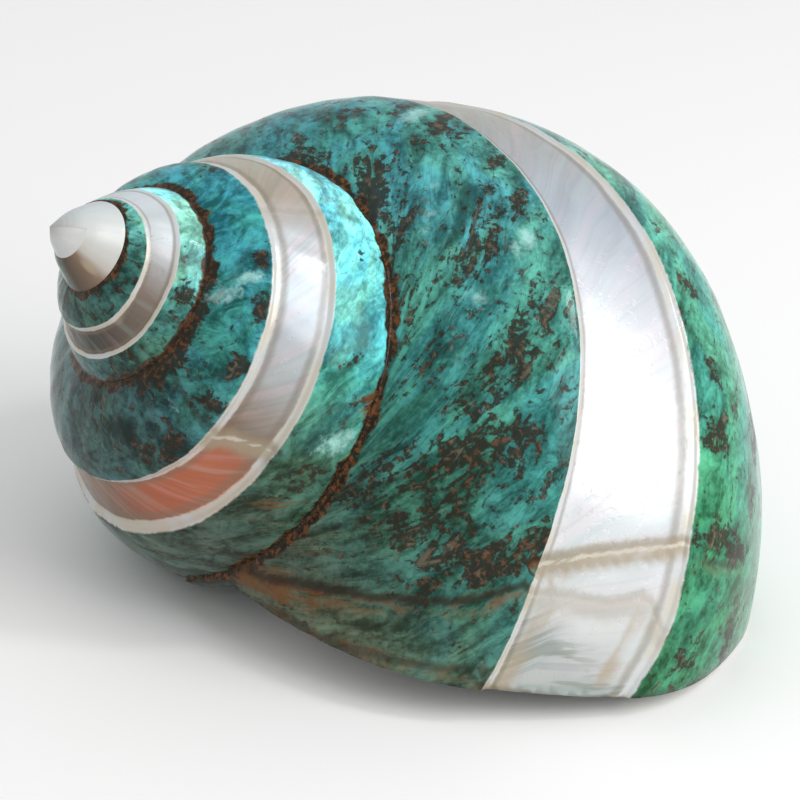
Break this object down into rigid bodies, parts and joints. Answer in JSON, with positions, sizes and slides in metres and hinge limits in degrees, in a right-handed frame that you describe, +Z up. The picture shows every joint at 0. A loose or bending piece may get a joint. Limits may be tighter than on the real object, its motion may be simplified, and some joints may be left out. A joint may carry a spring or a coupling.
{
  "type": "turban sea snail shell",
  "caption": "Polished turban sea snail shell lying on its mouth: a hollow spiral with swollen whorls, a pointed spire and one wide open mouth.",
  "frame": {"origin": "middle of the bounding box's bottom face, on the surface that the shell lies on", "axes": "+Z up as the shell lies on its mouth, -X towards the spire's tip, -Y towards the viewer"},
  "size_m": [0.0604, 0.0528, 0.0387],
  "materials": {
    "polished_shell": "polished natural shell with a clear gloss, blue green with bands of silvery mother of pearl"
  },
  "bodies": {
    "root": {"shell": "polished_shell"}
  },
  "joints": []
}
